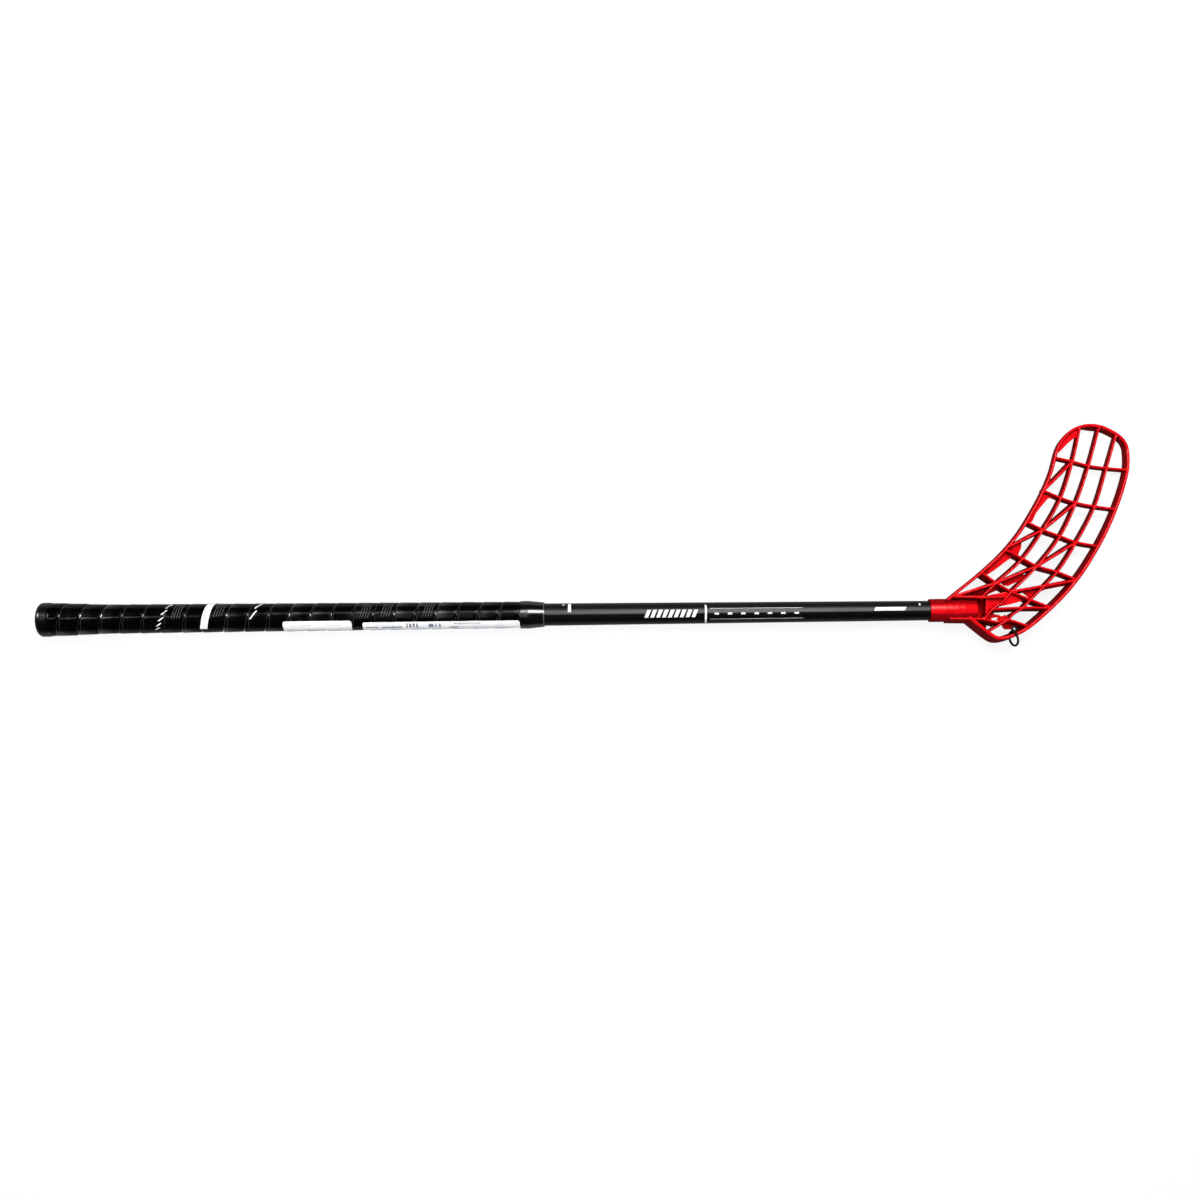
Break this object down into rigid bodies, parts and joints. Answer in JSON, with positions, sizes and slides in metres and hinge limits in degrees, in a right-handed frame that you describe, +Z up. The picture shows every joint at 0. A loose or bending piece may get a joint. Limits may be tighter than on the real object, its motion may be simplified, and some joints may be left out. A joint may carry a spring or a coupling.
{
  "type": "floorball stick",
  "caption": "Floorball stick with a tapered composite shaft, a wound grip with stickers, a flared butt cap and a curved open-lattice blade screwed to the shaft.",
  "frame": {"origin": "centre of the butt cap's flat end, on the shaft's axis", "axes": "+X along the shaft from the butt to the blade, +Y towards the blade's tip, +Z up from the floor that the stick lies on"},
  "size_m": [1.123, 0.2292, 0.035],
  "materials": {
    "shaft_black": "satin",
    "cap_black": "matte",
    "grip_black": "satin",
    "band_black": "gloss",
    "label_white": "satin",
    "blade_red": "gloss",
    "screw_steel": "satin",
    "cord_black": "matte",
    "ring_black": "satin"
  },
  "bodies": {
    "root": {"shaft_tube": "shaft_black", "butt_cap": "cap_black", "grip_tape": "grip_black", "grip_end_band": "band_black", "grip_band_label": "label_white", "grip_label_short": "label_white", "grip_label_long": "label_white", "blade": "blade_red", "blade_screw": "screw_steel", "tag_cord": "cord_black", "tag_ring": "ring_black"}
  },
  "joints": []
}
